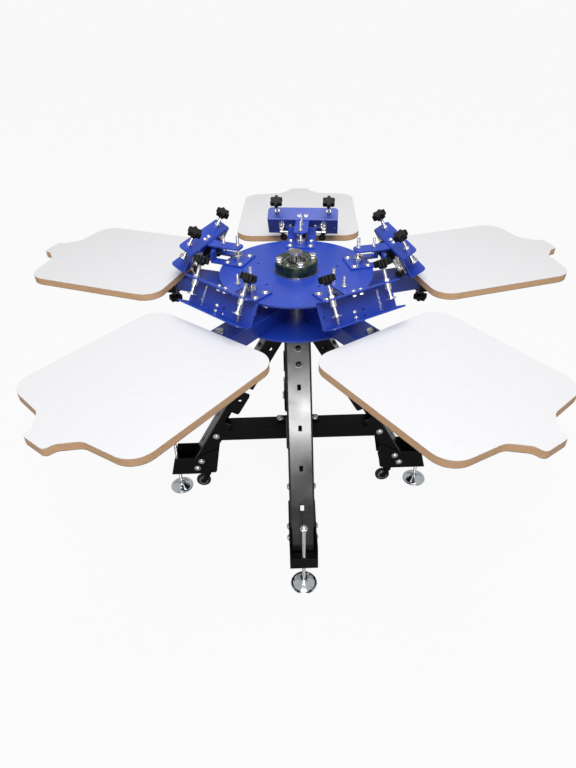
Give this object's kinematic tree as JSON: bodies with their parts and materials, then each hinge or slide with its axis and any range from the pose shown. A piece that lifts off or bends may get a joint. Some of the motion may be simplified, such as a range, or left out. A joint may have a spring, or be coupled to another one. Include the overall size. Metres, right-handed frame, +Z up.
{
  "type": "rotary screen printing press",
  "caption": "Floor-standing rotary screen printing press with blue turntables, white pallets on arms, hinged frame clamps raised, and a black folded-steel stand on levelling feet and castors",
  "frame": {"origin": "on the floor, on the axis of the turntables", "axes": "+Z up; -Y towards the front leg; +X to the right as seen from the front"},
  "size_m": [1.7618, 1.7244, 1.0547],
  "materials": {
    "blue_paint": "saturated blue powder coat, satin",
    "black_paint": "black powder coat, satin",
    "bright_steel": "zinc plated steel",
    "dark_casting": "dark green painted casting",
    "laminated_board": "white laminate over board with a plain wood edge",
    "black_plastic": "black moulded knob on a zinc plated screw",
    "black_rubber": "black castor tread"
  },
  "bodies": {
    "stand": {"stand_legs": "black_paint", "leg_head": "black_paint", "main_shaft": "bright_steel", "cross_braces": "black_paint", "leg_side_plates": "black_paint", "foot_brackets": "black_paint", "stand_bolts": "bright_steel"},
    "lower_turntable": {"lower_disc": "blue_paint", "lower_bearing": "dark_casting", "pallet_arms": "blue_paint", "arm_bolts": "bright_steel", "pallet_stops": "bright_steel"},
    "upper_turntable": {"upper_disc": "blue_paint", "hub_casting": "dark_casting", "hub_bearing": "bright_steel", "head_bases": "blue_paint", "upper_bolts": "bright_steel", "hinge_pins": "bright_steel"},
    "levelling_foot_1": {"levelling_foot_1": "bright_steel"},
    "castor_fork_1": {"castor_fork_1": "black_paint"},
    "castor_wheel_1": {"castor_wheel_1": "black_rubber"},
    "levelling_foot_2": {"levelling_foot_2": "bright_steel"},
    "castor_fork_2": {"castor_fork_2": "black_paint"},
    "castor_wheel_2": {"castor_wheel_2": "black_rubber"},
    "levelling_foot_3": {"levelling_foot_3": "bright_steel"},
    "castor_fork_3": {"castor_fork_3": "black_paint"},
    "castor_wheel_3": {"castor_wheel_3": "black_rubber"},
    "levelling_foot_4": {"levelling_foot_4": "bright_steel"},
    "castor_fork_4": {"castor_fork_4": "black_paint"},
    "castor_wheel_4": {"castor_wheel_4": "black_rubber"},
    "pallet_1": {"pallet_1": "laminated_board"},
    "pallet_knob_1": {"pallet_knob_1": "black_plastic"},
    "head_1": {"print_head_1": "blue_paint", "head_fittings_1": "bright_steel"},
    "clamp_screw_1_left": {"clamp_screw_1_left": "black_plastic"},
    "clamp_screw_1_right": {"clamp_screw_1_right": "black_plastic"},
    "pallet_2": {"pallet_2": "laminated_board"},
    "pallet_knob_2": {"pallet_knob_2": "black_plastic"},
    "head_2": {"print_head_2": "blue_paint", "head_fittings_2": "bright_steel"},
    "clamp_screw_2_left": {"clamp_screw_2_left": "black_plastic"},
    "clamp_screw_2_right": {"clamp_screw_2_right": "black_plastic"},
    "pallet_3": {"pallet_3": "laminated_board"},
    "pallet_knob_3": {"pallet_knob_3": "black_plastic"},
    "head_3": {"print_head_3": "blue_paint", "head_fittings_3": "bright_steel"},
    "clamp_screw_3_left": {"clamp_screw_3_left": "black_plastic"},
    "clamp_screw_3_right": {"clamp_screw_3_right": "black_plastic"},
    "pallet_4": {"pallet_4": "laminated_board"},
    "pallet_knob_4": {"pallet_knob_4": "black_plastic"},
    "head_4": {"print_head_4": "blue_paint", "head_fittings_4": "bright_steel"},
    "clamp_screw_4_left": {"clamp_screw_4_left": "black_plastic"},
    "clamp_screw_4_right": {"clamp_screw_4_right": "black_plastic"},
    "pallet_5": {"pallet_5": "laminated_board"},
    "pallet_knob_5": {"pallet_knob_5": "black_plastic"},
    "head_5": {"print_head_5": "blue_paint", "head_fittings_5": "bright_steel"},
    "clamp_screw_5_left": {"clamp_screw_5_left": "black_plastic"},
    "clamp_screw_5_right": {"clamp_screw_5_right": "black_plastic"}
  },
  "joints": [
    {"name": "lower_turn", "type": "hinge", "parent": "stand", "child": "lower_turntable", "pos_m": [0, 0, 0.81], "axis": [0, 0, 1], "continuous": true},
    {"name": "upper_turn", "type": "hinge", "parent": "stand", "child": "upper_turntable", "pos_m": [0, 0, 0.92], "axis": [0, 0, 1], "continuous": true},
    {"name": "levelling_slide_1", "type": "slide", "parent": "stand", "child": "levelling_foot_1", "axis": [0, 0, 1], "range_m": [-0.03, 0.06]},
    {"name": "castor_swivel_1", "type": "hinge", "parent": "stand", "child": "castor_fork_1", "pos_m": [0, 0.356, 0.09], "axis": [0, 0, 1], "continuous": true},
    {"name": "castor_roll_1", "type": "hinge", "parent": "castor_fork_1", "child": "castor_wheel_1", "pos_m": [-0.02, 0.356, 0.031], "axis": [0, -1, 0], "continuous": true},
    {"name": "levelling_slide_2", "type": "slide", "parent": "stand", "child": "levelling_foot_2", "axis": [0, 0, 1], "range_m": [-0.03, 0.06]},
    {"name": "castor_swivel_2", "type": "hinge", "parent": "stand", "child": "castor_fork_2", "pos_m": [-0.356, 0, 0.09], "axis": [0, 0, 1], "continuous": true},
    {"name": "castor_roll_2", "type": "hinge", "parent": "castor_fork_2", "child": "castor_wheel_2", "pos_m": [-0.376, 0, 0.031], "axis": [0, -1, 0], "continuous": true},
    {"name": "levelling_slide_3", "type": "slide", "parent": "stand", "child": "levelling_foot_3", "axis": [0, 0, 1], "range_m": [-0.03, 0.06]},
    {"name": "castor_swivel_3", "type": "hinge", "parent": "stand", "child": "castor_fork_3", "pos_m": [0, -0.356, 0.09], "axis": [0, 0, 1], "continuous": true},
    {"name": "castor_roll_3", "type": "hinge", "parent": "castor_fork_3", "child": "castor_wheel_3", "pos_m": [0.02, -0.356, 0.031], "axis": [0, 1, 0], "continuous": true},
    {"name": "levelling_slide_4", "type": "slide", "parent": "stand", "child": "levelling_foot_4", "axis": [0, 0, 1], "range_m": [-0.03, 0.06]},
    {"name": "castor_swivel_4", "type": "hinge", "parent": "stand", "child": "castor_fork_4", "pos_m": [0.356, 0, 0.09], "axis": [0, 0, 1], "continuous": true},
    {"name": "castor_roll_4", "type": "hinge", "parent": "castor_fork_4", "child": "castor_wheel_4", "pos_m": [0.336, 0, 0.031], "axis": [0, -1, 0], "continuous": true},
    {"name": "pallet_slide_1", "type": "slide", "parent": "lower_turntable", "child": "pallet_1", "axis": [0.0523, 0.9986, 0], "range_m": [-0.006, 0.06]},
    {"name": "pallet_knob_turn_1", "type": "hinge", "parent": "pallet_1", "child": "pallet_knob_1", "pos_m": [0.02303, 0.4394, 0.79], "axis": [0, 0, 1], "continuous": true},
    {"name": "head_lift_1", "type": "hinge", "parent": "upper_turntable", "child": "head_1", "pos_m": [0.03113, 0.27323, 0.95], "axis": [-0.9936, 0.1132, 0], "range_deg": [0, 30]},
    {"name": "clamp_travel_1_left", "type": "slide", "parent": "head_1", "child": "clamp_screw_1_left", "axis": [0.0566, 0.4968, -0.866], "range_m": [-0.012, 0.025]},
    {"name": "clamp_travel_1_right", "type": "slide", "parent": "head_1", "child": "clamp_screw_1_right", "axis": [0.0566, 0.4968, -0.866], "range_m": [-0.012, 0.025]},
    {"name": "pallet_slide_2", "type": "slide", "parent": "lower_turntable", "child": "pallet_2", "axis": [-0.9336, 0.3584, 0], "range_m": [-0.006, 0.06]},
    {"name": "pallet_knob_turn_2", "type": "hinge", "parent": "pallet_2", "child": "pallet_knob_2", "pos_m": [-0.41078, 0.15768, 0.79], "axis": [0, 0, 1], "continuous": true},
    {"name": "head_lift_2", "type": "hinge", "parent": "upper_turntable", "child": "head_2", "pos_m": [-0.25024, 0.11404, 0.95], "axis": [-0.4147, -0.91, 0], "range_deg": [0, 30]},
    {"name": "clamp_travel_2_left", "type": "slide", "parent": "head_2", "child": "clamp_screw_2_left", "axis": [-0.455, 0.2073, -0.866], "range_m": [-0.012, 0.025]},
    {"name": "clamp_travel_2_right", "type": "slide", "parent": "head_2", "child": "clamp_screw_2_right", "axis": [-0.455, 0.2073, -0.866], "range_m": [-0.012, 0.025]},
    {"name": "pallet_slide_3", "type": "slide", "parent": "lower_turntable", "child": "pallet_3", "axis": [-0.6293, -0.7771, 0], "range_m": [-0.006, 0.06]},
    {"name": "pallet_knob_turn_3", "type": "hinge", "parent": "pallet_3", "child": "pallet_knob_3", "pos_m": [-0.2769, -0.34194, 0.79], "axis": [0, 0, 1], "continuous": true},
    {"name": "head_lift_3", "type": "hinge", "parent": "upper_turntable", "child": "head_3", "pos_m": [-0.18579, -0.20275, 0.95], "axis": [0.7373, -0.6756, 0], "range_deg": [0, 30]},
    {"name": "clamp_travel_3_left", "type": "slide", "parent": "head_3", "child": "clamp_screw_3_left", "axis": [-0.3378, -0.3686, -0.866], "range_m": [-0.012, 0.025]},
    {"name": "clamp_travel_3_right", "type": "slide", "parent": "head_3", "child": "clamp_screw_3_right", "axis": [-0.3378, -0.3686, -0.866], "range_m": [-0.012, 0.025]},
    {"name": "pallet_slide_4", "type": "slide", "parent": "lower_turntable", "child": "pallet_4", "axis": [0.5446, -0.8387, 0], "range_m": [-0.006, 0.06]},
    {"name": "pallet_knob_turn_4", "type": "hinge", "parent": "pallet_4", "child": "pallet_knob_4", "pos_m": [0.23964, -0.36901, 0.79], "axis": [0, 0, 1], "continuous": true},
    {"name": "head_lift_4", "type": "hinge", "parent": "upper_turntable", "child": "head_4", "pos_m": [0.13542, -0.23935, 0.95], "axis": [0.8704, 0.4924, 0], "range_deg": [0, 30]},
    {"name": "clamp_travel_4_left", "type": "slide", "parent": "head_4", "child": "clamp_screw_4_left", "axis": [0.2462, -0.4352, -0.866], "range_m": [-0.012, 0.025]},
    {"name": "clamp_travel_4_right", "type": "slide", "parent": "head_4", "child": "clamp_screw_4_right", "axis": [0.2462, -0.4352, -0.866], "range_m": [-0.012, 0.025]},
    {"name": "pallet_slide_5", "type": "slide", "parent": "lower_turntable", "child": "pallet_5", "axis": [0.9659, 0.2588, 0], "range_m": [-0.006, 0.06]},
    {"name": "pallet_knob_turn_5", "type": "hinge", "parent": "pallet_5", "child": "pallet_knob_5", "pos_m": [0.42501, 0.11388, 0.79], "axis": [0, 0, 1], "continuous": true},
    {"name": "head_lift_5", "type": "hinge", "parent": "upper_turntable", "child": "head_5", "pos_m": [0.26948, 0.05483, 0.95], "axis": [-0.1994, 0.9799, 0], "range_deg": [0, 30]},
    {"name": "clamp_travel_5_left", "type": "slide", "parent": "head_5", "child": "clamp_screw_5_left", "axis": [0.49, 0.0997, -0.866], "range_m": [-0.012, 0.025]},
    {"name": "clamp_travel_5_right", "type": "slide", "parent": "head_5", "child": "clamp_screw_5_right", "axis": [0.49, 0.0997, -0.866], "range_m": [-0.012, 0.025]}
  ]
}
